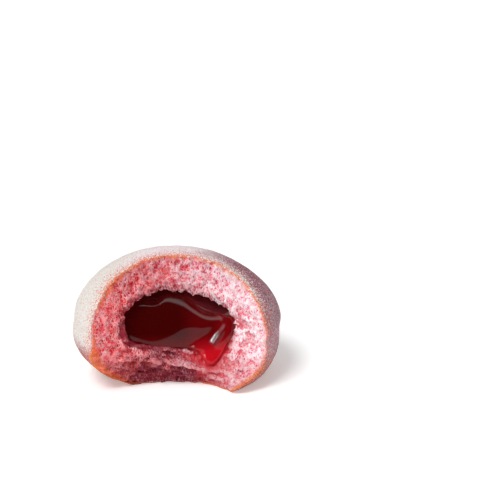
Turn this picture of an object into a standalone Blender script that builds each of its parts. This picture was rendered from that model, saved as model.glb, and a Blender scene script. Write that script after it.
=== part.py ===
"""A bitten jelly filled doughnut, lying as it was put down, with the bite facing -Y.

Metres, +Z up. The origin is on the table, under the middle of the doughnut as it was before the bite.
"""

import math

import bmesh
import bpy
from mathutils import Vector, noise

# Driving dimensions of the whole doughnut
WIDTH = 0.0848  # across the widest girth
GIRTH_Z = 0.0207  # height of the widest girth over the table
TOP_RISE = 0.0306  # dome over the girth
UNDER_DROP = 0.0262  # lower bulge, if the table did not flatten it
TOP_FULLNESS = 2.0  # exponent of the dome's outline: 2 is an ellipse, more is boxier
UNDER_FULLNESS = 2.2
LEAN_TOP = -0.0007  # sideways slump along X, of the crown and of the underside
LEAN_UNDER = 0.0062
LUMPS = ((2, 0.8, 0.006), (3, 2.0, 0.004), (5, 0.0, 0.004))  # waves round the girth, start, size
LUMP_TWIST = 4.0  # how far the waves turn from the underside to the crown, in radians

# The pale ring that stayed over the frying oil
RING_Z = 0.0215
RING_TILT = 0.07  # the ring runs down towards +X
RING_HALF = 0.0042
RING_DEPTH = 0.0007

# The bite: a bowl whose floor juts out as a shelf under the filling
BITE_TOP_Y = -0.0040  # where the torn face starts, at the crown
BITE_SLANT_OUT = 0.0050  # how far it slants forward over the first BITE_SLANT of height below
BITE_SLANT = 0.0180
SHELF_OUT = 0.0080  # how far the shelf stands out
SHELF_Z = 0.0100
SHELF_TILT = -0.20  # the shelf runs down towards +X
SHELF_REACH = 0.0340  # how far along X it fades out
SHELF_UPPER_SPREAD = 0.0090
SHELF_UNDER_SPREAD = 0.0106
HORN_X = 0.030
LEFT_HORN_OUT = 0.0144  # how far the sides of the bite come forward at HORN_X
LEFT_HORN_CURVE = 1.6
RIGHT_HORN_OUT = 0.0061
RIGHT_HORN_CURVE = 3.0
CRAG_SIZE = 0.0046  # breadth of the torn crumb's lumps
SMALL_CRAG_SIZE = 0.0022
CRAG = 0.0011  # how far they stand out
TOOTH_PITCH = 0.0088
TOOTH_DEPTH = 0.0004
CHEEKS = (  # x, z, spread, how far forward: lumps that the teeth left
    (-0.034, 0.027, 0.0100, 0.0045),
    (0.026, 0.001, 0.0095, 0.0088),
)

# The pocket that holds the jelly
POCKET_AT = Vector((0.0005, -0.0060, 0.0270))
POCKET_HALF = Vector((0.0230, 0.0260, 0.0114))
POCKET_TOP_FULLNESS = 2.0
POCKET_FLOOR_FULLNESS = 3.5
POCKET_TOP_TILT = -0.13  # its ceiling runs down towards +X
POCKET_ROUGH = 0.0009
POCKET_ROUGH_WAVES = 6.5

# The jelly
GAP = 0.0003
RIDGE_Z = 0.0318  # the fold along the jelly's upper edge
RIDGE_FALL = 0.0062  # how much lower the fold is at its right end
RIDGE_AT = 0.0075  # where it falls most
RIDGE_FALL_SPREAD = 0.0030
RIDGE_WAVE = 0.0006
RIDGE_WAVE_PITCH = 0.026
RIDGE_SOFT = 0.0026  # how gently it rolls over into the hollow
SWELL_Y = -0.0148  # the most forward point of the jelly's belly
SWELL_Z = 0.0180
SWELL_BACK = 0.0058  # how far the belly falls back up to the fold
HOLLOW_BACK = 0.0100  # how far the jelly sinks behind the fold

# The drip over the lip of the pocket
DRIP_TOP = Vector((0.0145, 0.0235))  # x, z
DRIP_TIP = Vector((0.0142, 0.0092))
DRIP_TOP_HALF = 0.0085
DRIP_TIP_HALF = 0.0032
DRIP_THICK = 0.0027
DRIP_ROOT = 0.0012  # how deep it has sunk into the crumb

# The blocks that cut the fronts of the dough and the jelly
CUTTER_HALF_X = 0.048
CUTTER_LOW_Z = -0.006
CUTTER_TOP_Z = 0.058
CUTTER_FRONT_Y = -0.060
GRID_STEP = 0.0017
SEED = Vector((3.7, 1.3, 8.9))


def clear_scene():
    for obj in list(bpy.data.objects):
        bpy.data.objects.remove(obj, do_unlink=True)


def make_collection(name):
    collection = bpy.data.collections.new(name)
    bpy.context.scene.collection.children.link(collection)
    return collection


def make_material(name, colour, roughness):
    material = bpy.data.materials.new(name)
    material.use_nodes = True
    shader = material.node_tree.nodes["Principled BSDF"]
    shader.inputs["Base Color"].default_value = (*colour, 1.0)
    shader.inputs["Roughness"].default_value = roughness
    shader.inputs["Metallic"].default_value = 0.0
    return material


def make_object(name, bm, collection, material=None):
    bmesh.ops.recalc_face_normals(bm, faces=bm.faces)
    mesh = bpy.data.meshes.new(name)
    bm.to_mesh(mesh)
    bm.free()
    mesh.shade_smooth()
    mesh.set_sharp_from_angle(angle=math.radians(50))
    if material:
        mesh.materials.append(material)
    obj = bpy.data.objects.new(name, mesh)
    collection.objects.link(obj)
    return obj


def make_cutter(name, bm, collection):
    cutter = make_object(name, bm, collection)
    cutter.hide_render = True
    cutter.display_type = "WIRE"
    return cutter


def add_boolean(obj, other, operation):
    modifier = obj.modifiers.new(f"{operation.title()} {other.name}", "BOOLEAN")
    modifier.operation = operation
    modifier.solver = "EXACT"
    modifier.object = other


def round_cage(level):
    bm = bmesh.new()
    bmesh.ops.create_icosphere(bm, subdivisions=level, radius=1.0)
    return bm


def hump(value, spread):
    return math.exp(-((value / spread) ** 2))


def soft_step(share):
    share = min(1.0, max(0.0, share))
    return share * share * (3 - 2 * share)


def crust_point(direction):
    """Where a ray from the doughnut's middle leaves its crust."""
    flat = math.hypot(direction.x, direction.y)
    rise, fullness = (TOP_RISE, TOP_FULLNESS) if direction.z > 0 else (UNDER_DROP, UNDER_FULLNESS)
    reach = (flat / (WIDTH / 2)) ** fullness + (abs(direction.z) / rise) ** fullness
    reach = reach ** (-1 / fullness)
    turn = math.atan2(direction.y, direction.x)
    twist = LUMP_TWIST * direction.z
    lumps = sum(size * math.sin(count * turn + start + twist) for count, start, size in LUMPS)
    point = direction * reach * (1 + flat * flat * lumps)
    ring = GIRTH_Z + point.z - RING_Z + RING_TILT * point.x
    point -= Vector((direction.x, direction.y, 0)) * RING_DEPTH * hump(ring, RING_HALF)
    point.x += (LEAN_TOP if point.z > 0 else LEAN_UNDER) * (point.z / GIRTH_Z) ** 2
    point.z = max(0.0, point.z + GIRTH_Z)
    return point


def bite_y(x, z):
    """The torn face's place along Y, without its crags."""
    over_shelf = z - SHELF_Z - SHELF_TILT * x
    spread = SHELF_UPPER_SPREAD if over_shelf > 0 else SHELF_UNDER_SPREAD
    y = BITE_TOP_Y - BITE_SLANT_OUT * soft_step((GIRTH_Z + TOP_RISE - z) / BITE_SLANT)
    y -= SHELF_OUT * hump(over_shelf, spread) * hump(x, SHELF_REACH)
    out, curve = (RIGHT_HORN_OUT, RIGHT_HORN_CURVE) if x > 0 else (LEFT_HORN_OUT, LEFT_HORN_CURVE)
    y -= out * (abs(x) / HORN_X) ** curve
    for cheek_x, cheek_z, spread, out in CHEEKS:
        y -= out * hump(math.hypot(x - cheek_x, z - cheek_z), spread)
    return y


def torn_y(x, z):
    """The torn face with its crags, in arcs a tooth wide."""
    place = Vector((x, z, 0.0))
    rough = noise.noise(place / CRAG_SIZE + SEED) + 0.7 * noise.noise(place / SMALL_CRAG_SIZE - SEED)
    teeth = abs(math.sin(math.pi * x / TOOTH_PITCH))
    return bite_y(x, z) + CRAG * rough + TOOTH_DEPTH * teeth


def pocket_point(direction, spare):
    """Where a ray from the pocket's middle meets its wall. spare is how much smaller it is all round."""
    half = POCKET_HALF - Vector((spare, spare, spare))
    flat = math.hypot(direction.x / half.x, direction.y / half.y)
    tall = abs(direction.z) / half.z
    fullness = POCKET_FLOOR_FULLNESS
    if direction.z > 0:
        fullness = POCKET_TOP_FULLNESS
        tall /= 1 + POCKET_TOP_TILT * direction.x
    return POCKET_AT + direction * (flat**fullness + tall**fullness) ** (-1 / fullness)


def make_whole_doughnut(collection, material):
    bm = round_cage(5)
    for vert in bm.verts:
        vert.co = crust_point(vert.co.normalized())
    return make_object("dough", bm, collection, material)


def make_front_cutter(name, surface_y, collection):
    """Everything in front of a surface given as y over x and z, as one block."""
    columns = round(2 * CUTTER_HALF_X / GRID_STEP)
    rows = round((CUTTER_TOP_Z - CUTTER_LOW_Z) / GRID_STEP)
    bm = bmesh.new()
    bmesh.ops.create_grid(bm, x_segments=columns, y_segments=rows, size=1.0)
    for vert in bm.verts:
        x = vert.co.x * CUTTER_HALF_X
        z = CUTTER_LOW_Z + (vert.co.y + 1) / 2 * (CUTTER_TOP_Z - CUTTER_LOW_Z)
        vert.co = (x, surface_y(x, z), z)
    front = bmesh.ops.extrude_face_region(bm, geom=bm.faces[:])["geom"]
    for vert in (item for item in front if isinstance(item, bmesh.types.BMVert)):
        vert.co.y = CUTTER_FRONT_Y
    return make_cutter(name, bm, collection)


def make_pocket_cutter(collection):
    """The hollow in the crumb, rough outwards only, so that the jelly fits it."""
    bm = round_cage(4)
    for vert in bm.verts:
        out = (vert.co.normalized() * POCKET_HALF).normalized()
        place = out * POCKET_ROUGH_WAVES + SEED
        rough = abs(noise.noise(place)) + 0.5 * abs(noise.noise(place * 2))
        vert.co = pocket_point(out, 0.0) + out * POCKET_ROUGH * rough
    return make_cutter("pocket", bm, collection)


def jelly_y(x, z):
    """The jelly's front: a swollen belly, a fold along its upper edge, and a hollow behind that."""
    fall = RIDGE_FALL / (1 + math.exp(-(x - RIDGE_AT) / RIDGE_FALL_SPREAD))
    fold_z = RIDGE_Z - fall + RIDGE_WAVE * math.sin(2 * math.pi * x / RIDGE_WAVE_PITCH)
    share = (z - SWELL_Z) / (RIDGE_Z - SWELL_Z)
    belly = SWELL_Y + SWELL_BACK * share * abs(share)
    sunk = HOLLOW_BACK / (1 + math.exp(-(z - fold_z - RIDGE_SOFT) / (RIDGE_SOFT / 2)))
    return belly + sunk


def make_jelly_pool(collection, material):
    """The pocket's full of jelly, before its front is cut back."""
    bm = round_cage(4)
    for vert in bm.verts:
        out = (vert.co.normalized() * POCKET_HALF).normalized()
        vert.co = pocket_point(out, GAP)
    return make_object("jelly", bm, collection, material)


def make_drip(name, spare, collection):
    """A tongue of jelly that lies on the torn face. spare is how much larger it is all round."""
    bm = round_cage(4)
    for vert in bm.verts:
        out = vert.co.normalized()
        down = (1 - out.z) / 2
        half = DRIP_TOP_HALF + (DRIP_TIP_HALF - DRIP_TOP_HALF) * down + spare
        middle = DRIP_TOP.lerp(DRIP_TIP, down)
        x = middle.x + out.x * half
        z = middle.y + out.z * spare
        thick = (DRIP_THICK if out.y < 0 else DRIP_ROOT) + spare
        vert.co = (x, bite_y(x, z) + out.y * thick, z)
    return make_cutter(name, bm, collection)


def build():
    clear_scene()
    parts = make_collection("jelly_doughnut")
    cutters = make_collection("cutters")
    crumb_pink = make_material("dough", (0.72, 0.42, 0.42), 0.85)
    jelly_red = make_material("jelly", (0.10, 0.002, 0.004), 0.08)

    dough = make_whole_doughnut(parts, crumb_pink)
    jelly = make_jelly_pool(parts, jelly_red)
    add_boolean(jelly, make_front_cutter("jelly_front", jelly_y, cutters), "DIFFERENCE")
    add_boolean(jelly, make_drip("drip", 0.0, cutters), "UNION")
    add_boolean(dough, make_front_cutter("bite", torn_y, cutters), "DIFFERENCE")
    add_boolean(dough, make_pocket_cutter(cutters), "DIFFERENCE")
    add_boolean(dough, make_drip("drip_room", GAP, cutters), "DIFFERENCE")


build()
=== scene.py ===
import math

import bpy
import numpy as np
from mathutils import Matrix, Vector


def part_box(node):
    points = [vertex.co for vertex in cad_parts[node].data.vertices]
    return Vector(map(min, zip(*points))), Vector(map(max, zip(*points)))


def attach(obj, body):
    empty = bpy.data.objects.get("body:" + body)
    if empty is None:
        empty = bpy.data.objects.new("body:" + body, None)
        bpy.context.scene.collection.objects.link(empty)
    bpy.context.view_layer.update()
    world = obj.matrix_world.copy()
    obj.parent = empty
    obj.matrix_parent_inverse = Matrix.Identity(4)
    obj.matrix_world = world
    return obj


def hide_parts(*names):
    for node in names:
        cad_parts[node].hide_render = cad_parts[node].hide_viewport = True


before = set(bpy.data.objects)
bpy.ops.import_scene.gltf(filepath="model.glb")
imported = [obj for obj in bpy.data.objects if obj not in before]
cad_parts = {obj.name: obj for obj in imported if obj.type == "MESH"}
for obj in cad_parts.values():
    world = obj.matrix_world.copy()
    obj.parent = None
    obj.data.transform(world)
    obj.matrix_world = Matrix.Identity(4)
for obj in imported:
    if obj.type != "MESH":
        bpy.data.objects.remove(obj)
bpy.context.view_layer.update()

# A bitten jelly doughnut: sugared crust, open pink crumb, and a pool of jelly that drips over the lip.
# Metres, +Z up. The bite faces -Y.

mm = 0.001
doughLow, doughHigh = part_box("dough")
jellyLow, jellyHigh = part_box("jelly")

dough = {
    "width": 1.003 * (doughHigh.x - doughLow.x),  # the ring's waist makes the box a little narrower
    "girthZ": 20.7 * mm,  # height of the widest girth
    "topRise": doughHigh.z - 20.7 * mm,
    "underDrop": 26.2 * mm,
    "topFullness": 2.0,  # 2 is an ellipse, more is boxier
    "underFullness": 2.2,
    "leanTop": -0.7 * mm,
    "leanUnder": 6.2 * mm,
    "lumps": ((2, 0.8, 0.006), (3, 2.0, 0.004), (5, 0.0, 0.004)),  # waves round the girth, start, size
    "lumpTwist": 4.0,
    "ringZ": 21.5 * mm,  # the pale ring that stayed over the frying oil
    "ringTilt": 0.07,
    "ringHalf": 4.2 * mm,
    "ringDepth": 0.7 * mm,
    "steep": 0.94,  # from the distance along a ray to the distance from the crust, about
}

bite = {
    "topY": -4.0 * mm,
    "slantOut": 5.0 * mm,
    "slant": 18.0 * mm,
    "shelfOut": 8.0 * mm,
    "shelfZ": 10.0 * mm,
    "shelfTilt": -0.20,
    "shelfReach": 34.0 * mm,
    "shelfUpper": 9.0 * mm,
    "shelfUnder": 10.6 * mm,
    "hornX": 30.0 * mm,
    "leftHorn": (12.8 * mm, 1.6),  # how far forward, curve
    "rightHorn": (6.1 * mm, 3.0),
    "cheeks": ((-34 * mm, 27 * mm, 10.0 * mm, 3.8 * mm), (26 * mm, 1 * mm, 9.5 * mm, 8.8 * mm)),
    "crag": 1.1 * mm,
    "cragSize": 4.6 * mm,
    "smallCrag": 0.77 * mm,
    "smallCragSize": 2.2 * mm,
    "undercut": (1.7 * mm, -5 * mm, -4.6 * mm, 17 * mm, 3.4 * mm),  # depth, x, below the shelf, reach, height
    "strata": (1.9 * mm, 5.5 * mm, 1.6 * mm),  # torn layers along the shelf: depth, length, thickness
    "strataReach": (26 * mm, 9 * mm),  # sideways, and up and down
    "ledge": (1.5 * mm, 1.7 * mm, 2 * mm, 22 * mm),  # the shelf's crest: out, half height, x, reach
    "ledgeWave": (0.9 * mm, 15 * mm),  # height, pitch
    "ledgeGroove": (0.7, 3.4 * mm),  # the hollow over the crest: share of its depth, how far up
}

pocket = {
    "at": np.array([0.5, -6.0, 27.0]) * mm,
    "half": np.array([23.0, 26.0, 11.4]) * mm,
    "topFullness": 2.0,
    "floorFullness": 3.5,
    "topTilt": -0.13,
    "steep": 0.8,
}


# Small tools for shapes given as fields over many points

def softStep(share):
    share = np.clip(share, 0.0, 1.0)
    return share * share * (3 - 2 * share)


def ramp(value, start, end):
    # 0 at start and 1 at end, which may be the smaller of the two
    return softStep((value - start) / (end - start))


def hump(value, spread):
    return np.exp(-((value / spread) ** 2))


def softMin(a, b, blend):
    share = np.clip(0.5 + 0.5 * (b - a) / blend, 0.0, 1.0)
    return b + (a - b) * share - blend * share * (1 - share)


def softMax(a, b, blend):
    return -softMin(-a, -b, blend)


noiseCells = 32  # the noise repeats after this many cells
noiseRandom = np.random.default_rng(41)
noiseSlopes = noiseRandom.normal(size=(noiseCells, noiseCells, noiseCells, 3)).astype(np.float32)
noiseSlopes /= np.linalg.norm(noiseSlopes, axis=-1, keepdims=True)
cellSeeds = noiseRandom.random(size=(noiseCells, noiseCells, noiseCells, 4)).astype(np.float32)


def noise(points, size, shift):
    # gradient noise, about -1 to 1, in lumps about size across; shift, in cells, gives each use its own
    place = (points / size + shift).astype(np.float32)
    cell = np.floor(place).astype(np.int32)
    inside = place - cell
    weight = inside * inside * inside * (inside * (inside * 6 - 15) + 10)
    total = np.zeros(len(points), np.float32)
    for corner in range(8):
        step = np.array([corner & 1, corner >> 1 & 1, corner >> 2 & 1])
        at = (cell + step) % noiseCells
        slope = noiseSlopes[at[:, 0], at[:, 1], at[:, 2]]
        share = np.prod(np.where(step == 1, weight, 1 - weight), axis=1)
        total += share * np.einsum("ij,ij->i", slope, inside - step)
    return 1.6 * total


def nearestCells(points, size, shift):
    # distance to the nearest and second nearest of scattered seeds, and the nearest one's random number
    place = (points / size + shift).astype(np.float32)
    cell = np.floor(place).astype(np.int32)
    nearest = np.full(len(points), 9.0, np.float32)
    second = nearest.copy()
    chance = np.zeros(len(points), np.float32)
    for corner in range(27):
        step = np.array([corner % 3 - 1, corner // 3 % 3 - 1, corner // 9 - 1])
        at = (cell + step) % noiseCells
        seed = cellSeeds[at[:, 0], at[:, 1], at[:, 2]]
        away = np.linalg.norm(cell + step + 0.1 + 0.8 * seed[:, :3] - place, axis=1)
        closer = away < nearest
        second = np.where(closer, nearest, np.minimum(second, away))
        chance = np.where(closer, seed[:, 3], chance)
        nearest = np.where(closer, away, nearest)
    return nearest * size, second * size, chance


# The doughnut's own surfaces, as the solids have them

def crustRadius(direction):
    flat = np.hypot(direction[:, 0], direction[:, 1])
    up = direction[:, 2]
    rise = np.where(up > 0, dough["topRise"], dough["underDrop"])
    fullness = np.where(up > 0, dough["topFullness"], dough["underFullness"])
    reach = (flat / (dough["width"] / 2)) ** fullness + (np.abs(up) / rise) ** fullness
    turn = np.arctan2(direction[:, 1], direction[:, 0])
    lumps = 0
    for count, start, size in dough["lumps"]:
        lumps = lumps + size * np.sin(count * turn + start + dough["lumpTwist"] * up)
    return reach ** (-1 / fullness) * (1 + flat * flat * lumps)


def ringLevel(points):
    return points[:, 2] - dough["ringZ"] + dough["ringTilt"] * points[:, 0]


def crustPoint(direction, inset):
    # where rays from the middle of the girth leave the crust, less an inset
    point = direction * (crustRadius(direction) - inset)[:, None]
    point[:, 2] += dough["girthZ"]
    dent = dough["ringDepth"] * hump(ringLevel(point), dough["ringHalf"])
    point[:, :2] -= direction[:, :2] * dent[:, None]
    up = point[:, 2] - dough["girthZ"]
    lean = np.where(up > 0, dough["leanTop"], dough["leanUnder"])
    point[:, 0] += lean * (up / dough["girthZ"]) ** 2
    point[:, 2] = np.maximum(point[:, 2], inset)
    return point


def crustDistance(points):
    # about how far outside the crust each point is, negative inside
    up = points[:, 2] - dough["girthZ"]
    lean = np.where(up > 0, dough["leanTop"], dough["leanUnder"])
    offset = points - [0, 0, dough["girthZ"]]
    offset[:, 0] -= lean * (up / dough["girthZ"]) ** 2
    reach = np.linalg.norm(offset, axis=1) + 1e-9
    direction = offset / reach[:, None]
    flat = np.hypot(direction[:, 0], direction[:, 1])
    dent = dough["ringDepth"] * hump(ringLevel(points), dough["ringHalf"]) * flat
    return np.maximum(dough["steep"] * (reach - crustRadius(direction) + dent), -points[:, 2])


def biteY(x, z):
    # the torn face without its crags: the dough is behind it
    overShelf = z - bite["shelfZ"] - bite["shelfTilt"] * x
    spread = np.where(overShelf > 0, bite["shelfUpper"], bite["shelfUnder"])
    crownZ = dough["girthZ"] + dough["topRise"]
    y = bite["topY"] - bite["slantOut"] * softStep((crownZ - z) / bite["slant"])
    y = y - bite["shelfOut"] * hump(overShelf, spread) * hump(x, bite["shelfReach"])
    right = bite["rightHorn"][0] * (np.abs(x) / bite["hornX"]) ** bite["rightHorn"][1]
    left = bite["leftHorn"][0] * (np.abs(x) / bite["hornX"]) ** bite["leftHorn"][1]
    y = y - np.where(x > 0, right, left)
    for cheekX, cheekZ, cheekSpread, out in bite["cheeks"]:
        y = y - out * hump(np.hypot(x - cheekX, z - cheekZ), cheekSpread)
    return y


def tornY(x, z):
    place = np.stack([x, 0 * x, z], axis=1)
    rough = bite["crag"] * noise(place, bite["cragSize"], shift=3.3)
    rough = rough + bite["smallCrag"] * noise(place, bite["smallCragSize"], shift=8.1)
    overShelf = z - bite["shelfZ"] - bite["shelfTilt"] * x
    deep, cutX, cutZ, cutReach, cutHigh = bite["undercut"]
    under = deep * hump(overShelf - cutZ, cutHigh) * hump(x - cutX, cutReach)
    deep, long, thin = bite["strata"]
    layered = np.stack([x / long, 0 * x, overShelf / thin], axis=1)
    sideReach, upReach = bite["strataReach"]
    layers = deep * noise(layered, 1.0, shift=12.3) * hump(overShelf, upReach) * hump(x, sideReach)
    wave, pitch = bite["ledgeWave"]
    crest = overShelf - wave * np.sin(2 * math.pi * x / pitch)
    out, half, ledgeX, ledgeReach = bite["ledge"]
    groove, grooveUp = bite["ledgeGroove"]
    ledge = out * (hump(crest, half) - groove * hump(crest - grooveUp, half)) * hump(x - ledgeX, ledgeReach)
    return biteY(x, z) + rough + under + layers - ledge


def pocketDistance(points):
    # about how far outside the pocket each point is, negative in the pocket
    offset = points - pocket["at"]
    reach = np.linalg.norm(offset, axis=1) + 1e-9
    flat = np.hypot(offset[:, 0] / pocket["half"][0], offset[:, 1] / pocket["half"][1])
    tall = np.abs(offset[:, 2]) / pocket["half"][2]
    over = offset[:, 2] > 0
    tall = np.where(over, tall / (1 + pocket["topTilt"] * offset[:, 0] / reach), tall)
    fullness = np.where(over, pocket["topFullness"], pocket["floorFullness"])
    level = (flat**fullness + tall**fullness + 1e-9) ** (1 / fullness)
    return pocket["steep"] * reach * (1 - 1 / level)


# Meshes

def makePiece(name, verts, faces):
    # faces is a list of faces, or an array of quads
    mesh = bpy.data.meshes.new(name)
    mesh.vertices.add(len(verts))
    mesh.vertices.foreach_set("co", np.asarray(verts, np.float32).ravel())
    sizes = np.array([len(face) for face in faces])
    corners = np.concatenate(faces)
    mesh.loops.add(len(corners))
    mesh.loops.foreach_set("vertex_index", corners.astype(np.int32))
    mesh.polygons.add(len(sizes))
    mesh.polygons.foreach_set("loop_start", np.concatenate([[0], np.cumsum(sizes)[:-1]]).astype(np.int32))
    mesh.update(calc_edges=True)
    mesh.validate()
    mesh.shade_smooth()
    piece = bpy.data.objects.new(name, mesh)
    bpy.context.scene.collection.objects.link(piece)
    return piece


def setAttributes(piece, attributes):
    # what the materials read at each point of the mesh
    for name, values in attributes.items():
        held = piece.data.attributes.new(name, "FLOAT", "POINT")
        held.data.foreach_set("value", np.asarray(values, np.float32))


def meshFromField(field, origin, step):
    # a closed mesh where the field crosses zero: one point for each mixed cube of the grid
    inside = field < 0
    cubes = np.array(field.shape) - 1
    total = np.zeros((cubes.prod(), 4))
    quads = []
    for axis in range(3):
        along = np.zeros(3, int)
        along[axis] = 1
        low = tuple(slice(None, -1) if n == axis else slice(None) for n in range(3))
        high = tuple(slice(1, None) if n == axis else slice(None) for n in range(3))
        edge = np.argwhere(inside[low] != inside[high])
        first = field[tuple(edge.T)]
        share = first / (first - field[tuple((edge + along).T)])
        place = edge + share[:, None] * along
        ring = []
        for back, down in ((0, 0), (1, 0), (1, 1), (0, 1)):
            cube = edge.copy()
            cube[:, (axis + 1) % 3] -= back
            cube[:, (axis + 2) % 3] -= down
            index = (cube[:, 0] * cubes[1] + cube[:, 1]) * cubes[2] + cube[:, 2]
            for n in range(3):
                total[:, n] += np.bincount(index, place[:, n], len(total))
            total[:, 3] += np.bincount(index, minlength=len(total))
            ring.append(index)
        quad = np.stack(ring, axis=1)
        outward = first < 0
        quads.append(np.where(outward[:, None], quad, quad[:, ::-1]))
    used = total[:, 3] > 0
    number = np.cumsum(used) - 1
    verts = origin + step * total[used, :3] / total[used, 3:]
    return verts, number[np.concatenate(quads)]


def keepLargest(verts, quads):
    # drops loose specks and sealed bubbles
    label = np.arange(len(verts))
    ends = np.concatenate([quads[:, [0, 1]], quads[:, [1, 2]], quads[:, [2, 3]]])
    while True:
        lower = label.copy()
        np.minimum.at(lower, ends[:, 0], label[ends[:, 1]])
        np.minimum.at(lower, ends[:, 1], label[ends[:, 0]])
        lower = lower[lower]
        if (lower == label).all():
            break
        label = lower
    kept = label == np.bincount(label).argmax()
    number = np.cumsum(kept) - 1
    return verts[kept], number[quads[kept[quads[:, 0]]]]


def blurred(values, reach):
    # a box blur along each axis
    for axis in range(3):
        padded = np.pad(values, [(reach + 1, reach) if n == axis else (0, 0) for n in range(3)], "edge")
        total = np.cumsum(padded, axis=axis)
        ahead = np.take(total, range(2 * reach + 1, total.shape[axis]), axis=axis)
        behind = np.take(total, range(0, total.shape[axis] - 2 * reach - 1), axis=axis)
        values = (ahead - behind) / (2 * reach + 1)
    return values


# Material tools

def colour(hexCode):
    channels = [int(hexCode[n:n + 2], 16) / 255 for n in (1, 3, 5)]
    return [c / 12.92 if c <= 0.04045 else ((c + 0.055) / 1.055) ** 2.4 for c in channels] + [1.0]


def addNode(tree, kind, settings=None, links=None):
    node = tree.nodes.new("ShaderNode" + kind)
    for key, value in (settings or {}).items():
        if isinstance(key, str) and hasattr(node, key):
            setattr(node, key, value)
        else:
            node.inputs[key].default_value = value
    for key, source in (links or {}).items():
        tree.links.new(source, node.inputs[key])
    return node.outputs


def newMaterial(name):
    material = bpy.data.materials.new(name)
    material.use_nodes = True
    material.node_tree.nodes.clear()
    return material, material.node_tree


# Edge of the bite, x and z in mm: two places where crust and crumb both change

def sugaredEdge(x, z):
    # 1 where loose sugar hides the browned edge, at the left
    return hump(z - 30, 7.5) * ramp(x, -18, -26)


def broadEdge(x, z):
    # 1 where the browned edge is broad, below that
    return ramp(z, 21, 17) * ramp(x, -12, -20)


# Jelly: a swollen pool with a fold along its upper edge, and a drip over the lip

jelly = {
    "grid": 0.3 * mm,
    "quickGrid": 0.6 * mm,
    "intoCrumb": 0.5 * mm,  # how far it reaches into the pocket's wall, so that no gap shows
    "knotX": (-20 * mm, 4 * mm),  # the first knot of the lines below, and their pitch
    "foldZ": np.array([31.5, 31.9, 31.8, 31.7, 33.6, 33.4, 32.2, 29.8, 27.7, 26.6, 25.8, 25.2]) * mm,
    "levelZ": np.array([20.5, 19.0, 17.4, 16.8, 17.9, 20.1, 23.1, 24.2, 23.6, 22.2, 21.5, 21.0]) * mm,
    "levelSlope": 0.15,  # how the belly leans back at the level line, and just under the fold
    "foldSlope": 0.5,
    "foldSoft": (0.8 * mm, 1.7 * mm),  # how gently the fold rolls over, at the left and at the right
    "bellyY": -14.8 * mm,
    "hollowBack": 7.0 * mm,
    "frontSteep": 0.85,
    "frontBlend": 1.6 * mm,
    "outflowSide": (7.3 * mm, 17.5 * mm, 14.4 * mm, 23.8 * mm),  # right of this line it runs out over the lip
    "outflowTurn": 0.7 * mm,
    "outflowTop": (23.8 * mm, -13.6 * mm),  # z, y
    "outflowSlope": 0.3,
    "wrinkle": (20.7 * mm, 25.2 * mm, 15.4 * mm, 18.2 * mm, 1.15 * mm, 1.0 * mm),  # ends, height, half width
    "dripTop": (14.5 * mm, 23.5 * mm),  # x, z
    "dripTip": (14.2 * mm, 9.2 * mm),
    "dripTopHalf": 8.5 * mm,
    "dripTipHalf": 3.7 * mm,
    "dripThick": 3.8 * mm,
    "dripRoot": 1.2 * mm,
    "dripBlend": 2.6 * mm,
    "deepColour": "#330202",
    "thinColour": "#C8101F",
    "paintedSheenColour": "#4A1419",  # a painted sheen behind the fold, a soft reflection laid into the colour
}


def curveThrough(x, knots):
    # a smooth line through evenly spaced knots
    start, pitch = jelly["knotX"]
    place = np.clip((x - start) / pitch, 0, len(knots) - 1.001)
    cell = np.floor(place).astype(int)
    share = place - cell
    before, here, after, beyond = (knots[np.clip(cell + n, 0, len(knots) - 1)] for n in (-1, 0, 1, 2))
    cubic = (3 * (here - after) + beyond - before) * share
    square = 2 * before - 5 * here + 4 * after - beyond
    return here + 0.5 * share * (after - before + share * (square + cubic))


def rising(value):
    return 1 / (1 + np.exp(-np.clip(value, -40, 40)))


def jellyFrontY(x, z):
    fold = curveThrough(x, jelly["foldZ"])
    level = curveThrough(x, jelly["levelZ"])
    bend = (jelly["foldSlope"] - jelly["levelSlope"]) / (fold - level)
    over = z - level
    belly = jelly["bellyY"] + over * (jelly["levelSlope"] + bend / 2 * over)
    fromX, fromZ, toX, toZ = jelly["outflowSide"]
    length = math.hypot(toX - fromX, toZ - fromZ)
    side = ((x - fromX) * (toZ - fromZ) - (z - fromZ) * (toX - fromX)) / length
    topZ, topY = jelly["outflowTop"]
    outflow = topY - jelly["outflowSlope"] * (topZ - z)
    belly = belly + (outflow - belly) * rising(side / jelly["outflowTurn"])
    sharp, gentle = jelly["foldSoft"]
    soft = sharp + (gentle - sharp) * ramp(x, -9 * mm, 2 * mm)
    hollow = jelly["hollowBack"] * (1 - 0.65 * ramp(x, 12 * mm, 22 * mm))
    started = (1 - np.sqrt(np.maximum(1 - 4 * (1 - jelly["foldSlope"]) * soft / hollow, 0.05))) / 2
    return belly + hollow * rising((z - fold) / soft - np.log(1 / started - 1))


def dripDistance(points):
    x, y, z = points.T
    topX, topZ = jelly["dripTop"]
    tipX, tipZ = jelly["dripTip"]
    down = (topZ - z) / (topZ - tipZ)
    half = jelly["dripTopHalf"] + (jelly["dripTipHalf"] - jelly["dripTopHalf"]) * np.clip(down, 0, 1)
    off = (x - topX - (tipX - topX) * np.clip(down, 0, 1)) / half
    out = y - biteY(x, z)
    thick = np.where(out < 0, jelly["dripThick"], jelly["dripRoot"])
    level = np.sqrt(off**2 + (2 * down - 1) ** 2 + (out / thick) ** 2)
    return (level - 1) * thick


def wrinkleHeight(x, z):
    fromX, fromZ, toX, toZ, tall, half = jelly["wrinkle"]
    length = math.hypot(toX - fromX, toZ - fromZ)
    alongX, alongZ = (toX - fromX) / length, (toZ - fromZ) / length
    along = ((x - fromX) * alongX + (z - fromZ) * alongZ) / length
    aside = (x - fromX) * alongZ - (z - fromZ) * alongX
    return tall * hump(aside, half) * ramp(along, 0, 0.6) * ramp(along, 1.1, 1.0)


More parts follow.
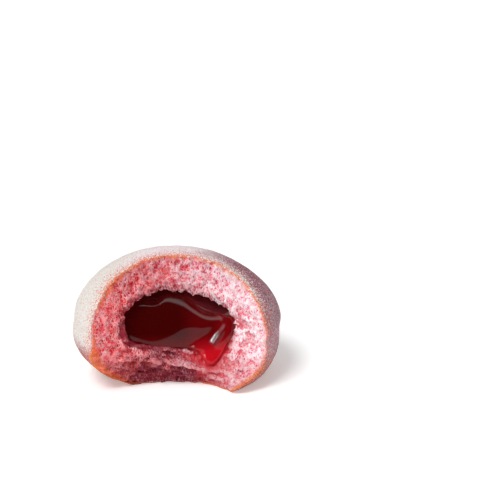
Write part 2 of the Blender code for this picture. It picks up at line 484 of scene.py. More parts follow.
def jellyField(points):
    x, y, z = points.T
    pool = pocketDistance(points) - jelly["intoCrumb"]
    front = jelly["frontSteep"] * (jellyFrontY(x, z) - y)
    pool = softMax(pool, front, jelly["frontBlend"])
    return softMin(pool, dripDistance(points), jelly["dripBlend"]) - wrinkleHeight(x, z)


def makeJelly():
    step = jelly["grid"]
    margin = 3 * mm
    nudge = 0.05 * mm
    low = np.array(jellyLow) - margin
    high = np.array(jellyHigh) + margin
    counts = np.ceil((high - low) / step).astype(int)
    place = np.argwhere(np.ones(counts, bool))
    field = jellyField(low + step * place).reshape(counts)
    verts, quads = keepLargest(*meshFromField(field, low, step))
    for _ in range(3):  # settles the points on the true surface, for clean reflections
        slope = np.stack([
            (jellyField(verts + side) - jellyField(verts - side)) / (2 * nudge)
            for side in np.eye(3) * nudge
        ], axis=1)
        away = jellyField(verts) / np.maximum((slope**2).sum(axis=1), 0.05)
        verts = verts - slope * np.clip(away, -step, step)[:, None]
    piece = makePiece("jelly_pool", verts, quads)
    x, y, z = verts.T / mm
    fold = curveThrough(verts[:, 0], jelly["foldZ"]) / mm
    drip = ramp(dripDistance(verts) / mm, 2.2, -1)
    low = ramp(z, 22, 16)
    thin = 0.1 * ramp(x, 1, 10) + 0.1 * ramp(x, 14, 20) + 0.12 * low
    setAttributes(piece, {
        "thin": np.clip(thin + drip * (0.2 + 0.7 * low), 0, 1),
        # painted sheen: a soft reflection laid into the colour above the fold, at the right
        "paintedSheen": ramp(z - fold, 1, 3) * ramp(x, 2, 9),
    })
    return piece


def pectinJelly():
    # Red fruit jelly, set with pectin: it swallows light, so it is nearly black-red where deep and clear
    # red where thin, under a wet skin with sharp highlights.
    material, tree = newMaterial("Red fruit jelly, pectin set and glossy")
    thin, paintedSheen = (addNode(tree, "Attribute", {"attribute_name": name})["Fac"] for name in ("thin", "paintedSheen"))
    deepColour, thinColour = colour(jelly["deepColour"]), colour(jelly["thinColour"])
    base = addNode(tree, "Mix", {"data_type": "RGBA", 6: deepColour, 7: thinColour}, {0: thin})[2]
    # the painted sheen above the fold
    base = addNode(tree, "Mix", {"data_type": "RGBA", 7: colour(jelly["paintedSheenColour"])}, {0: paintedSheen, 6: base})[2]
    # the light that real jelly scatters up from its depth is a faint glow of its own here
    shader = addNode(tree, "BsdfPrincipled", {
        "Roughness": 0.06, "IOR": 1.37, "Emission Color": deepColour, "Emission Strength": 0.5,
    }, {"Base Color": base})[0]
    addNode(tree, "OutputMaterial", links={"Surface": shader})
    return material


# Crumb: torn open, with air cells that the tear left as pits

crumb = {
    "grid": 0.4 * mm,
    "quickGrid": 0.55 * mm,
    "ahead": 1.6 * mm,  # nothing stands further in front of the torn face
    "depth": 7.5 * mm,  # how thick a layer is modelled behind the torn face
    "underCrust": 0.45 * mm,  # it starts this far under the crust's outside, and overlaps its inside
    "steep": 0.82,
    "blend": 0.3 * mm,
    "fineLumps": (1.1 * mm, 0.4 * mm, 0.5 * mm),  # size, height on the face, height on the pocket's lip
    "lumps": (2.9 * mm, 0.8 * mm, 0.008),  # size, height in the middle, and less of it per metre to the right
    "lipLumps": (2.6 * mm, 0.7 * mm),  # size, height
    "lipOut": 0.6 * mm,  # how far the lip narrows the pocket
    "lipOverhang": 0.25 * mm,
    "lipBlend": 0.5 * mm,
    "warp": (1.3 * mm, 0.5 * mm),  # what bends the cells: size, reach
    "cellSize": 1.3 * mm,
    "cellReach": (0.3 * mm, 0.66 * mm),
    "cellMore": 0.1 * mm,  # cells reach further at the left
    "tall": 0.66,  # small cells are drawn out upwards
    "wall": 0.13 * mm,
    "bigCellSize": 3.1 * mm,
    "bigCellReach": (0.6 * mm, 1.3 * mm),
    "bigCellsClosed": 0.35,  # share of them that the tear missed
    "cellBlend": 0.2 * mm,
    "pitBlend": 0.12 * mm,
    "openPatch": 4.4 * mm,
    "openDepth": 1.0 * mm,  # pits reach this far behind the torn face
    "strandSize": 1.9 * mm,  # torn strands and flakes that stand proud of the face
    "strandPatch": 5.2 * mm,
    "strandHalf": 0.17,
    "fineStrands": (0.55, 1.2, 0.6),  # their size, width and height, as shares of the others'
    "strandOut": 0.5 * mm,
    "blurs": (0.75 * mm, 1.3 * mm),  # how far pits and hollows are felt, for the painted shade in them
    "ridgeColours": ("#F47C7E", "#FFF0F4"),  # where the crumb is red, and where it is pale
    # painted shade: the deeper red of the pits, where the crumb is enclosed
    "pitShadeColours": ("#DA0E18", "#E24C74"),
    "tornColours": ("#FBBCC0", "#FFFAFC"),
    "bakedColour": "#F06A28",
    # painted shade, multiplied into the colour where the crumb lies in shade
    "paintedShadeColour": "#84204C",
    "stainColour": "#C42030",
    # jelly soaked into the lip, and painted shade where the lip darkens into the pocket
    "wetAndShadedColour": "#820C24",
    "blotch": 3.6 * mm,
    "fleck": 0.6 * mm,
    "web": 1.0 * mm,  # a real crumb's finest cells are half of this, which is too fine to show
    "webPatch": 3.0 * mm,
    "webBend": (1.3 * mm, 1.6 * mm),  # size, reach
}


def strands(points):
    # 1 along thin torn strands, 0 between them
    drawn = points * [1, 1, crumb["tall"]]
    size, half = crumb["strandSize"], crumb["strandHalf"]
    finer, wider, lower = crumb["fineStrands"]
    coarse = hump(noise(drawn, size, shift=15.2), half)
    fine = hump(noise(drawn, finer * size, shift=21.7), wider * half)
    some = 0.55 + 1.1 * noise(points, crumb["strandPatch"], shift=4.9)
    some = softStep(some + points[:, 0] / (110 * mm))  # and more of them to the right
    return np.maximum(coarse, lower * fine) * (0.2 + 0.8 * some)


def crumbField(points, face):
    # negative in the crumb; face is the torn face's y at each point
    x, z = points[:, 0], points[:, 2]
    size, reach = crumb["warp"]
    warp = np.stack([noise(points, size, shift) for shift in (0.4, 5.2, 9.7)], axis=1) * reach
    place = points + warp
    size, onFace, onLip = crumb["fineLumps"]
    fine = noise(points, size, shift=2.2)
    size, height, less = crumb["lumps"]
    deep = points[:, 1] - face + onFace * fine + (height - less * x) * noise(points, size, shift=6.6)
    openness = softStep(0.55 + 0.8 * noise(points, crumb["openPatch"], shift=11.3))
    deep = deep + crumb["strandOut"] * strands(place)
    body = softMax(-deep * crumb["steep"], deep - crumb["depth"], crumb["blend"])
    body = softMax(body, crustDistance(points) + crumb["underCrust"], crumb["blend"])

    size, height = crumb["lipLumps"]
    overhang = crumb["lipOverhang"] * ramp(z, 30 * mm, 34 * mm)
    hollow = pocketDistance(points) + crumb["lipOut"] + overhang
    hollow = hollow + (height + overhang) * noise(points, size, shift=7.7) + onLip * fine
    body = softMax(body, -hollow, crumb["lipBlend"])

    left = ramp(x, 26 * mm, -26 * mm)
    squash = np.array([1, 1, crumb["tall"]])
    nearest, second, chance = nearestCells(place * squash, crumb["cellSize"], shift=1.3)
    small, large = crumb["cellReach"]
    reach = small + (large - small) * chance + crumb["cellMore"] * left
    cells = np.maximum(nearest - reach, crumb["wall"] - (second - nearest) / 2)
    nearest, second, chance = nearestCells(place, crumb["bigCellSize"], shift=6.1)
    small, large = crumb["bigCellReach"]
    reach = small + (large - small) * (chance * (0.35 + 0.8 * left) - 0.15)
    bigCells = np.where(chance > crumb["bigCellsClosed"], nearest - reach, 1 * mm)
    cells = softMin(cells, bigCells, crumb["cellBlend"])
    closing = 0.9 * (deep - crumb["openDepth"] * (0.15 + 0.85 * openness) * (0.55 + 0.5 * chance))
    return softMax(body, -np.maximum(cells, closing), crumb["pitBlend"])


def makeCrumb():
    step = crumb["grid"]
    margin = 2 * step
    low = np.array([doughLow.x, doughLow.y - 1 * mm, 0]) - margin
    high = np.array([doughHigh.x, bite["topY"] + 10 * mm, doughHigh.z]) + margin
    counts = np.ceil((high - low) / step).astype(int)
    axes = [low[n] + step * np.arange(counts[n]) for n in range(3)]
    faceX, faceZ = np.meshgrid(axes[0], axes[2], indexing="ij")
    face = tornY(faceX.ravel(), faceZ.ravel()).reshape(faceX.shape)
    behind = axes[1][None, :, None] - face[:, None, :]
    near = (behind > -crumb["ahead"]) & (behind < crumb["depth"] + 1 * mm)
    place = np.argwhere(near)
    points = low + step * place
    close = crustDistance(points) < 0.5 * mm
    place, points = place[close], points[close]
    field = np.full(counts, 1 * mm, np.float32)
    field[tuple(place.T)] = crumbField(points, face[place[:, 0], place[:, 2]])
    verts, quads = keepLargest(*meshFromField(field, low, step))
    piece = makePiece("crumb", verts, quads)

    # how enclosed each point is: deep in a pit both are near 1
    smallBlur, largeBlur = (round(reach / step) for reach in crumb["blurs"])
    solid = blurred((field < 0).astype(np.float32), smallBlur)
    cavity = blurred(solid, largeBlur)
    at = tuple(np.clip(np.round((verts - low) / step).astype(int), 0, counts - 1).T)

    # where the crumb is paler, carries painted shade, is browned, or is soaked with jelly and painted darker;
    # places in mm
    x, y, z = verts.T / mm
    proud = (biteY(verts[:, 0], verts[:, 2]) - verts[:, 1]) / mm
    right = ramp(x, -19, 31)
    lowMiddle = ramp(z, 20, 12) * hump(x + 3, 19)
    lowRight = ramp(z, 17, 9) * ramp(x, 4, 14)
    # painted shade along the bottom middle, where the crumb meets the floor, and in the sunken hollow under
    # the shelf
    base = ramp(z + 0.12 * x, 8.5, 4.5) * hump(x + 5, 17)
    sunkenShade = ramp(proud, 0.6, -1) * ramp(z + 0.2 * x, 20, 14) * hump(x + 4, 24)
    nearPocket = pocketDistance(verts) / mm + 0.9 * noise(verts, 1.6 * mm, shift=18.4)
    pocketLeft = ramp(x, -11, -18)
    # jelly soaked into the crumb at the pocket's edge, more at the left, which also paints in the shade there
    soakedAndShaded = softStep(1 - nearPocket / (1.8 + 1.2 * pocketLeft))
    # painted shade: low in the middle under the jelly's lip, low at the right, along the top under the
    # crust's edge, and at the pocket's upper edge
    paintedShading = 0.7 * lowMiddle * (1 - 0.4 * ramp(proud, 0, 1.4)) + 0.12 * lowRight
    paintedShading = paintedShading + ramp(z, 34, 42) * (0.17 + 0.12 * (1 - right))
    paintedShading = paintedShading + 0.4 * ramp(nearPocket, 3.2, 0) * ramp(z, 28, 34)
    reddest = ramp(noise(verts, 3.2 * mm, shift=5.5), 0.1, 0.45)
    underCrust = -crustDistance(verts) / mm + 1.3 * ramp(x + 0.5 * z, -5, 11)
    underCrust = underCrust + 1.5 * sugaredEdge(x, z) - 1.3 * broadEdge(x, z)
    # no browning at the bottom middle, where painted shade lies instead
    underCrust = underCrust + 2 * hump(x + 5, 15) * ramp(z, 11, 7)
    setAttributes(piece, {
        # painted shade: pits and hollows turn a deeper red by how enclosed each point is; the redder blotches
        # at the left are the crumb's own tone
        "pitShade": 0.6 * solid[at] + 0.8 * cavity[at] + 0.3 * (1 - right) * reddest,
        # paler to the right and less pale low down: partly the crumb's own colour, partly painted light where
        # the right face turns to the key light
        "pale": 0.98 * right - 0.17 * lowMiddle - 0.45 * lowRight,
        # painted shade, from the masks above
        "paintedShade": np.clip(paintedShading + 0.55 * base + 0.3 * sunkenShade, 0, 1),
        "proud": proud,
        "strand": strands(verts),
        "underCrust": underCrust,
        # soaked lip, partly real jelly and partly painted shade darkening into the pocket, more low down and
        # at the left
        "wetAndShaded": soakedAndShaded * np.clip(0.4 + 0.3 * pocketLeft + 0.55 * ramp(z, 30, 22), 0, 1),
        "stained": ramp(dripDistance(verts) / mm, 2.6, 0),
    })
    return piece


def tornDoughCrumb():
    # Soft yeast crumb, coloured pink and torn, not cut: painted shade makes the pits a deeper red, pale dry
    # strands where it ripped, browned just under the crust, soaked beside the jelly, with painted shade at
    # the lip and low down.
    material, tree = newMaterial("Pink yeast crumb, torn and moist")
    place = addNode(tree, "TexCoord")["Object"]
    pale, pitShade, proud, underCrust, strand, paintedShade, stained, wetAndShaded = (
        addNode(tree, "Attribute", {"attribute_name": name})["Fac"]
        for name in ("pale", "pitShade", "proud", "underCrust", "strand", "paintedShade", "stained", "wetAndShaded"))
    drawn = addNode(tree, "VectorMath", {"operation": "MULTIPLY", 1: (1, 1, 0.55)}, {0: place})[0]
    blotch, fleck, some = (
        addNode(tree, "TexNoise", {
            "Scale": 1 / crumb[name], "Detail": detail, "Roughness": rough,
        }, {"Vector": vector})["Fac"]
        for name, detail, rough, vector in (
            ("blotch", 3, 0.5, place), ("fleck", 3, 0.6, drawn), ("webPatch", 2, 0.5, place)))

    # the web of finest cell walls, bent and broken up
    size, reach = crumb["webBend"]
    stir = addNode(tree, "TexNoise", {"Scale": 1 / size, "Detail": 1}, {"Vector": place})["Color"]
    stir = addNode(tree, "VectorMath", {"operation": "MULTIPLY_ADD", 1: [reach] * 3}, {0: stir, 2: drawn})[0]
    web = addNode(tree, "TexVoronoi", {
        "feature": "DISTANCE_TO_EDGE", "Scale": 1 / crumb["web"],
    }, {"Vector": stir})[0]
    web = addNode(tree, "MapRange", {"From Min": 0.18, "From Max": 0.03}, {"Value": web})[0]
    some = addNode(tree, "MapRange", {"From Min": 0.38, "From Max": 0.58, "To Min": 0.15}, {"Value": some})[0]
    web = addNode(tree, "Math", {"operation": "MULTIPLY"}, {0: web, 1: some})[0]

    # ridges and pits, with painted shade making the pits a deeper red
    pale = addNode(tree, "Math", {"operation": "MULTIPLY_ADD", 1: 1.2}, {0: blotch, 2: pale})[0]
    pale = addNode(tree, "Math", {"operation": "SUBTRACT", 1: 0.55, "use_clamp": True}, {0: pale})[0]
    ridgeTone, pitShadeTone, tornTone = (
        addNode(tree, "Mix", {
            "data_type": "RGBA", 6: colour(crumb[name][0]), 7: colour(crumb[name][1]),
        }, {0: pale})[2]
        for name in ("ridgeColours", "pitShadeColours", "tornColours"))
    for source, weight in ((fleck, 1.9), (proud, -0.05), (pale, -0.06)):
        pitShade = addNode(tree, "Math", {"operation": "MULTIPLY_ADD", 1: weight}, {0: source, 2: pitShade})[0]
    pitShade = addNode(tree, "MapRange", {"From Min": 1.4, "From Max": 1.74}, {"Value": pitShade})[0]
    base = addNode(tree, "Mix", {"data_type": "RGBA"}, {0: pitShade, 6: ridgeTone, 7: pitShadeTone})[2]

    # browned next to the crust, with torn strands over it
    baked = addNode(tree, "Math", {"operation": "MULTIPLY_ADD", 1: 5.0}, {0: fleck, 2: underCrust})[0]
    baked = addNode(tree, "MapRange", {"From Min": 5.7, "From Max": 3.8}, {"Value": baked})[0]
    bakedTone = colour(crumb["bakedColour"])
    base = addNode(tree, "Mix", {"data_type": "RGBA", 7: bakedTone}, {0: baked, 6: base})[2]
    strand = addNode(tree, "MapRange", {
        "From Min": 0.3, "From Max": 0.95, "To Max": 0.5,
    }, {"Value": strand})[0]
    strand = addNode(tree, "Math", {"operation": "MAXIMUM"}, {0: strand, 1: web})[0]
    shown = addNode(tree, "MapRange", {"To Min": 1.0, "To Max": 0.4}, {"Value": baked})[0]
    strand = addNode(tree, "Math", {"operation": "MULTIPLY"}, {0: strand, 1: shown})[0]
    base = addNode(tree, "Mix", {"data_type": "RGBA"}, {0: strand, 6: base, 7: tornTone})[2]

    # painted shade, jelly stain, and the lip soaked with jelly and painted darker into the pocket, all broken
    # up by the flecks
    mottled = addNode(tree, "Math", {"operation": "MULTIPLY", 1: 2.0}, {0: fleck})[0]
    paintedShade = addNode(tree, "Math", {"operation": "MULTIPLY", "use_clamp": True}, {0: paintedShade, 1: mottled})[0]
    wetAndShaded = addNode(tree, "Math", {"operation": "ADD"}, {0: mottled, 1: wetAndShaded})[0]
    wetAndShaded = addNode(tree, "MapRange", {"From Min": 1.25, "From Max": 1.75, "To Max": 0.95}, {"Value": wetAndShaded})[0]
    for mask, name, blend in (
            (paintedShade, "paintedShadeColour", "MULTIPLY"), (stained, "stainColour", "MIX"), (wetAndShaded, "wetAndShadedColour", "MIX")):
        base = addNode(tree, "Mix", {
            "data_type": "RGBA", "blend_type": blend, 7: colour(crumb[name]),
        }, {0: mask, 6: base})[2]

    # a painted glow, stronger in the pits, stands in for the light that comes through the thin walls
    glow = addNode(tree, "MapRange", {"To Min": 0.02, "To Max": 0.18}, {"Value": pitShade})[0]
    raised = addNode(tree, "Math", {"operation": "MULTIPLY_ADD", 1: 0.5}, {0: fleck, 2: web})[0]
    bump = addNode(tree, "Bump", {"Strength": 0.5, "Distance": 0.25 * mm}, {"Height": raised})[0]
    shader = addNode(tree, "BsdfPrincipled", {
        "Roughness": 0.6, "IOR": 1.4, "Subsurface Weight": 0.5, "Subsurface Radius": (1.0, 0.6, 0.55),
        "Subsurface Scale": 0.45 * mm,
    }, {"Base Color": base, "Emission Color": base, "Emission Strength": glow, "Normal": bump})[0]
    addNode(tree, "OutputMaterial", links={"Surface": shader})
    return material


# Crust: a thin fried shell, with a ragged edge where it was bitten through

crust = {
    "thick": 1.0 * mm,
    "around": 300,
    "back": 96,
    "edgeSteps": 4,
    "wrinkle": 0.16 * mm,
    "wrinkleSize": 4.5 * mm,
    "ragged": 0.35 * mm,
    "raggedSize": 1.3 * mm,
    "rimSearch": (0.2, 2.4, 34),  # least and most angle from the bite's axis, and how many halvings
    "backAngle": math.pi - 0.004,  # the small hole that is left behind is closed by a flat face
    "friedColours": ("#A0586C", "#B45C42"),  # above and below the ring
    "ringColour": "#B87888",
    "sugarColours": ("#F8ECEF", "#E4E0D9"),  # at the right, and at the warmer left
    "spotColour": "#DC6E56",  # small bare spots
    "speckColour": "#FDF8F8",  # coarse grains of sugar
    "edgeColours": ("#E8621E", "#F59A62"),
    "paleEdgeColour": "#F0A0A4",
    # painted shade on the edge at the bottom middle, where the doughnut meets the floor
    "baseShadeColour": "#6E262B",
    # icing sugar is under 0.1 mm, too fine to show: its grain and spots are drawn at about 0.5 mm
    "grain": 0.5 * mm,
    "spot": 0.6 * mm,
    "speck": 0.55 * mm,
    "crumbs": 0.8 * mm,
    "leather": 1.6 * mm,
    "patch": 5 * mm,
}


def makeCrust():
    count = crust["around"]
    rows = crust["back"]
    turn = 2 * math.pi * np.arange(count) / count

    def sideways(tip, inset):
        direction = np.stack([np.sin(tip) * np.cos(turn), -np.cos(tip), np.sin(tip) * np.sin(turn)], axis=1)
        return direction, crustPoint(direction, inset)

    def rimTip(inset):  # how far from the bite's axis the crust meets the torn face, by halving
        least, most, halvings = crust["rimSearch"]
        near, far = np.full(count, least), np.full(count, most)
        for _ in range(halvings):
            middle = (near + far) / 2
            point = sideways(middle, inset)[1]
            inFront = point[:, 1] < tornY(point[:, 0], point[:, 2])
            near, far = np.where(inFront, middle, near), np.where(inFront, far, middle)
        return (near + far) / 2

    outside = np.zeros(count)
    rim = sideways(rimTip(outside), outside)[1]
    ragged = crust["ragged"] * noise(rim, crust["raggedSize"], shift=4.4)
    ragged = ragged / (dough["width"] / 2)
    rings, cut = [], []
    tips = rimTip(outside) + ragged
    for row in range(rows + 1):
        tip = tips + (crust["backAngle"] - tips) * (row / rows)
        direction, point = sideways(tip, outside)
        wrinkled = crust["wrinkle"] * (noise(point, crust["wrinkleSize"], shift=1.1) - 0.6)
        rings.append(point + direction * np.minimum(wrinkled, 0)[:, None])
        cut.append(np.zeros(count))
    for row in range(1, crust["edgeSteps"] + 1):
        inset = np.full(count, crust["thick"] * row / crust["edgeSteps"])
        rings.insert(0, sideways(rimTip(inset) + ragged, inset)[1])
        cut.insert(0, np.ones(count))
    inset = np.full(count, crust["thick"])
    tips = rimTip(inset) + ragged
    innerRows = rows // 3
    for row in range(1, innerRows + 1):
        tip = tips + (crust["backAngle"] - tips) * row / innerRows
        rings.insert(0, sideways(tip, inset)[1])
        cut.insert(0, np.ones(count))

    verts = np.concatenate(rings)
    faces = []
    for row in range(len(rings) - 1):
        first = row * count + np.arange(count)
        after = row * count + (np.arange(count) + 1) % count
        faces.append(np.stack([first, after, after + count, first + count], axis=1))
    quads = list(np.concatenate(faces))
    quads.append(np.arange(count)[::-1])
    quads.append((len(rings) - 1) * count + np.arange(count))
    piece = makePiece("crust", verts, quads)

    # where the sugar lies thick or thin, with less of it on the right also standing in for painted shade, and
    # how the edge of the bite changes; places in mm
    x, y, z = verts.T / mm
    level = ringLevel(verts) / mm
    ring = hump(level, 1.5 * dough["ringHalf"] / mm)
    right, front, back = ramp(x, 4, 30), ramp(y, 22, -2), ramp(y, -5, 30)
    upperRight = hump(x - 22, 13) * ramp(z, 28, 36)
    lowLeft = ramp(z, 24, 13) * ramp(x, -14, -30) * ramp(y, 8, -16)
    # less sugar to the right and on the front's right: partly the sugar lying thinner, partly painted shade
    # on the shaded side
    coverAndShade = 0.88 - 0.36 * right - (0.12 * ramp(x, 4, 14) + 0.2 * upperRight) * front - 0.1 * back
    coverAndShade = coverAndShade - 0.12 * ramp(z, 9, 1) - 0.3 * ramp(z, 17, 2) * (1 - 0.5 * right) - 0.65 * lowLeft
    sugared, broad = sugaredEdge(x, z), broadEdge(x, z)
    fromBite = (verts[:, 1] - tornY(verts[:, 0], verts[:, 2])) / mm
    setAttributes(piece, {
        "coverAndShade": coverAndShade,
        "cut": np.concatenate(cut),
        "fromBite": fromBite + 2.5 * sugared - broad,
        # painted shade along the bottom middle of the bitten edge
        "baseShade": ramp(z, 12, 7) * hump(x + 5, 19),
        "paleEdge": np.maximum(sugared, ring * (1 - broad)),
        "warmSugar": ramp(x, -6, -28),
        "coarseSugar": ramp(z, 27, 39) * ramp(x, 0, 16),
        "inRing": ring,
        "underside": ramp(level, 0, -12),
    })
    return piece


def sugaredFriedCrust():
    # Yeast dough browned in hot oil, then rolled in icing sugar: leathery mauve-brown that shows through a
    # matt white powder, and a crisp orange edge where the bite broke it.
    material, tree = newMaterial("Fried dough crust, rolled in icing sugar")
    place = addNode(tree, "TexCoord")["Object"]
    coverAndShade, cut, fromBite, baseShade, paleEdge = (
        addNode(tree, "Attribute", {"attribute_name": name})["Fac"]
        for name in ("coverAndShade", "cut", "fromBite", "baseShade", "paleEdge"))
    warm, coarse, ring, underside = (
        addNode(tree, "Attribute", {"attribute_name": name})["Fac"]
        for name in ("warmSugar", "coarseSugar", "inRing", "underside"))
    grain, patch, leather, spots, specks, crumbs = (
        addNode(tree, "TexNoise", {
            "Scale": 1 / crust[name], "Detail": detail, "Roughness": rough,
        }, {"Vector": place})[output]
        for name, detail, rough, output in (
            ("grain", 4, 0.65, "Fac"), ("patch", 4, 0.5, "Fac"), ("leather", 3, 0.5, "Fac"),
            ("spot", 2, 0.5, "Fac"), ("speck", 2, 0.6, "Color"), ("crumbs", 3, 0.6, "Fac")))
    friedTone, sugarTone, edgeTone = (
        addNode(tree, "Mix", {
            "data_type": "RGBA", 6: colour(crust[name][0]), 7: colour(crust[name][1]),
        }, {0: mask})[2]
        for name, mask in (("friedColours", underside), ("sugarColours", warm), ("edgeColours", crumbs)))

    # fried skin, and the sugar that clings to it
    ringTone = colour(crust["ringColour"])
    base = addNode(tree, "Mix", {"data_type": "RGBA", 7: ringTone}, {0: ring, 6: friedTone})[2]
    base = addNode(tree, "Mix", {
        "data_type": "RGBA", "blend_type": "MULTIPLY", 0: 0.3,
    }, {6: base, 7: leather})[2]
    # how much white sugar shows; less of it on the right is partly painted shade
    sugar = addNode(tree, "Math", {"operation": "MULTIPLY_ADD", 1: 0.3}, {0: patch, 2: coverAndShade})[0]
    sugar = addNode(tree, "Math", {"operation": "MULTIPLY_ADD", 1: -1.1}, {0: grain, 2: sugar})[0]
    sugar = addNode(tree, "MapRange", {"From Min": -0.1, "From Max": 0.4}, {"Value": sugar})[0]
    base = addNode(tree, "Mix", {"data_type": "RGBA"}, {0: sugar, 6: base, 7: sugarTone})[2]

    # bare spots and coarse grains, both thicker near the bite
    near = addNode(tree, "MapRange", {"From Min": 10, "From Max": 0, "To Max": 0.17}, {"Value": fromBite})[0]
    spots = addNode(tree, "Math", {"operation": "ADD"}, {0: spots, 1: near})[0]
    spots = addNode(tree, "MapRange", {
        "From Min": 0.59, "From Max": 0.68, "To Max": 0.9,
    }, {"Value": spots})[0]
    coarse = addNode(tree, "Math", {"operation": "MULTIPLY"}, {0: near, 1: coarse})[0]
    specks = addNode(tree, "SeparateXYZ", links={"Vector": specks})["Y"]
    specks = addNode(tree, "Math", {"operation": "ADD"}, {0: specks, 1: coarse})[0]
    specks = addNode(tree, "MapRange", {
        "From Min": 0.59, "From Max": 0.66, "To Max": 0.9,
    }, {"Value": specks})[0]
    for mask, name in ((spots, "spotColour"), (specks, "speckColour")):
        base = addNode(tree, "Mix", {"data_type": "RGBA", 7: colour(crust[name])}, {0: mask, 6: base})[2]

    # the bitten edge, dusted here and there
    bare = addNode(tree, "Math", {"operation": "MULTIPLY_ADD", 1: -7.0}, {0: crumbs, 2: fromBite})[0]
    bare = addNode(tree, "MapRange", {"From Min": -2.7, "From Max": -3.9}, {"Value": bare})[0]
    dusted = addNode(tree, "MapRange", {"From Min": 0.43, "From Max": 0.52}, {"Value": crumbs})[0]
    cut = addNode(tree, "Math", {"operation": "MULTIPLY"}, {0: cut, 1: dusted})[0]
    bare = addNode(tree, "Math", {"operation": "MAXIMUM"}, {0: bare, 1: cut})[0]
    # the pale edge, and painted shade darkening the edge at the bottom middle
    for mask, name in ((paleEdge, "paleEdgeColour"), (baseShade, "baseShadeColour")):
        tone = colour(crust[name])
        edgeTone = addNode(tree, "Mix", {"data_type": "RGBA", 7: tone}, {0: mask, 6: edgeTone})[2]
    base = addNode(tree, "Mix", {"data_type": "RGBA"}, {0: bare, 6: base, 7: edgeTone})[2]

    bump = addNode(tree, "Bump", {"Strength": 0.35, "Distance": 0.4 * mm}, {"Height": leather})[0]
    bump = addNode(tree, "Bump", {
        "Strength": 0.5, "Distance": 0.12 * mm,
    }, {"Height": grain, "Normal": bump})[0]
    shader = addNode(tree, "BsdfPrincipled", {
        "Roughness": 0.9, "IOR": 1.45,
    }, {"Base Color": base, "Normal": bump})[0]
    addNode(tree, "OutputMaterial", links={"Surface": shader})
    return material


# Studio

studio = {
    "lens": 90,
    "distance": 0.508,
    "elevation": 17,
    "aimZ": 25.7 * mm,  # the doughnut's middle, which the photo shows at middlePixel
    "middlePixel": (176.5, 311.5),
    "photoPixels": 500,
    "keyElevation": 56,
    "keyAzimuth": -36,  # from the left and in front
    "keyStrength": 2.05,
    "keyAngle": 24,
    "onJelly": (0.01, -0.015, 0.025),  # what the lamps that only show in the jelly point at
    "jellyLamps": {  # place, strength, size
        "leftBox": ((-0.56, -0.48, 0.2), 2.0, (0.42, 0.22)),
        "leftBar": ((-0.52, -0.32, 0.54), 13.0, (0.02, 0.22)),
    },
    "floorReach": 6.0,
    "floorGlow": (0.3, 0.08),  # seen directly, and in the gloss
    "roomLow": (0.09, 0.08, 0.08, 1),
    "roomHigh": (0.48, 0.48, 0.48, 1),
    "bandStrength": 2.5,  # a bright band overhead that only gloss shows, as the folds' soft highlights
    "bandLean": 0.33,
    "bandHalf": (0.3, 0.04),  # where it ends, and where it is full
    "bandSide": (1.1, 0.7),
}


def makeCamera():
    data = bpy.data.cameras.new("camera")
    data.lens = studio["lens"]
    data.sensor_width = 36
    data.clip_start = 0.01
    data.clip_end = 50
    camera = bpy.data.objects.new("camera", data)
    bpy.context.scene.collection.objects.link(camera)
    tilt = math.radians(studio["elevation"])
    pixel = studio["distance"] * data.sensor_width / data.lens / studio["photoPixels"]
    half = studio["photoPixels"] / 2
    right = Vector((1, 0, 0))
    up = Vector((0, math.sin(tilt), math.cos(tilt)))
    back = Vector((0, -math.cos(tilt), math.sin(tilt)))
    aim = Vector((0, 0, studio["aimZ"]))
    aim += right * (half - studio["middlePixel"][0]) * pixel + up * (studio["middlePixel"][1] - half) * pixel
    camera.location = aim + back * studio["distance"]
    camera.rotation_euler = (math.pi / 2 - tilt, 0, 0)
    bpy.context.scene.camera = camera


def whitePaper():
    # White paper with a matt coating: no shine of its own, and a little glow keeps it white in the render.
    material, tree = newMaterial("White paper, matt coated")
    glossy = addNode(tree, "LightPath")["Is Glossy Ray"]
    direct, inGloss = studio["floorGlow"]
    glow = addNode(tree, "MapRange", {"To Min": direct, "To Max": inGloss}, {"Value": glossy})[0]
    base = addNode(tree, "Mix", {
        "data_type": "RGBA", 6: (0.9, 0.9, 0.9, 1), 7: (1.0, 0.92, 0.95, 1),
    }, {0: glossy})[2]
    shader = addNode(tree, "BsdfPrincipled", {
        "Roughness": 0.9, "Emission Color": (1, 1, 1, 1), "Specular IOR Level": 0.0,
    }, {"Base Color": base, "Emission Strength": glow})[0]
    addNode(tree, "OutputMaterial", links={"Surface": shader})
    return material


def makeFloor():
    count = 64
    turn = 2 * math.pi * np.arange(count) / count
    reach = studio["floorReach"]
    verts = np.stack([reach * np.cos(turn), reach * np.sin(turn), 0 * turn], axis=1)
    floor = makePiece("floor", verts, [np.arange(count)])
    floor.data.materials.append(whitePaper())


def addLight(name, kind, place, aim, strength, size, seenIn):
    data = bpy.data.lights.new(name, kind)
    data.energy = strength
    if kind == "AREA":
        data.shape = "RECTANGLE"
        data.size, data.size_y = size
    else:
        data.angle = math.radians(size)
    light = bpy.data.objects.new(name, data)
    bpy.context.scene.collection.objects.link(light)
    light.location = place
    light.rotation_euler = (Vector(aim) - Vector(place)).to_track_quat("-Z", "Y").to_euler()
    light.visible_camera = False
    light.visible_diffuse = seenIn == "diffuse"
    light.visible_glossy = seenIn == "glossy"


def makeLights():
    tall = math.radians(studio["keyElevation"])
    turn = math.radians(studio["keyAzimuth"])
    towards = Vector((math.sin(turn) * math.cos(tall), -math.cos(turn) * math.cos(tall), math.sin(tall)))
    addLight("key", "SUN", towards, (0, 0, 0), studio["keyStrength"], studio["keyAngle"], "diffuse")
    for name, (place, strength, size) in studio["jellyLamps"].items():
        addLight(name, "AREA", place, studio["onJelly"], strength, size, "glossy")


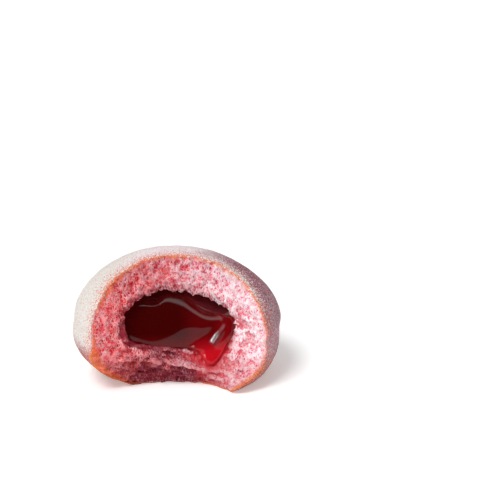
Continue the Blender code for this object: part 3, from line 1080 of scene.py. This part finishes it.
def makeWorld():
    world = bpy.data.worlds.new("studio")
    bpy.context.scene.world = world
    world.use_nodes = True
    tree = world.node_tree
    tree.nodes.clear()
    path = addNode(tree, "LightPath")
    towards = addNode(tree, "TexCoord")["Generated"]
    towards = addNode(tree, "SeparateXYZ", links={0: towards})

    # a soft room, darker and warmer low down
    overhead = addNode(tree, "MapRange", {"From Min": 0.1, "From Max": 0.9}, {"Value": towards["Z"]})[0]
    room = addNode(tree, "Mix", {
        "data_type": "RGBA", 6: studio["roomLow"], 7: studio["roomHigh"],
    }, {0: overhead})[2]

    # the band overhead
    end, full = studio["bandHalf"]
    lean, aside = (
        addNode(tree, "Math", {"operation": "DIVIDE"}, {0: towards[axis], 1: towards["Z"]})[0]
        for axis in "YX")
    lean = addNode(tree, "Math", {"operation": "ADD", 1: studio["bandLean"]}, {0: lean})[0]
    lean, aside = (addNode(tree, "Math", {"operation": "ABSOLUTE"}, {0: value})[0] for value in (lean, aside))
    band = addNode(tree, "MapRange", {
        "interpolation_type": "SMOOTHSTEP", "From Min": end, "From Max": full,
        "To Min": 0.01, "To Max": studio["bandStrength"],
    }, {"Value": lean})[0]
    for value, (start, stop) in ((towards["Z"], (0.1, 0.3)), (aside, studio["bandSide"])):
        share = addNode(tree, "MapRange", {"From Min": start, "From Max": stop}, {"Value": value})[0]
        band = addNode(tree, "Math", {"operation": "MULTIPLY"}, {0: band, 1: share})[0]

    room = addNode(tree, "Mix", {"data_type": "RGBA"}, {0: path["Is Glossy Ray"], 6: room, 7: band})[2]
    seen = addNode(tree, "Mix", {
        "data_type": "RGBA", 7: (1, 1, 1, 1),
    }, {0: path["Is Camera Ray"], 6: room})[2]
    background = addNode(tree, "Background", links={"Color": seen})[0]
    addNode(tree, "OutputWorld", links={"Surface": background})


print("studio")
makeCamera()
makeFloor()
makeLights()
makeWorld()
bpy.context.scene.view_settings.view_transform = "Standard"

print("crust")
crustPiece = makeCrust()
crustPiece.data.materials.append(sugaredFriedCrust())
print("crumb")
crumbPiece = makeCrumb()
crumbPiece.data.materials.append(tornDoughCrumb())
print("jelly")
jellyPiece = makeJelly()
jellyPiece.data.materials.append(pectinJelly())

for piece in (crustPiece, crumbPiece):
    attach(piece, "root")
    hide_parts("dough")
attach(jellyPiece, "root")
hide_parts("jelly")
for piece in (crustPiece, crumbPiece, jellyPiece):
    print(piece.name, sum(len(face.vertices) - 2 for face in piece.data.polygons), "triangles")
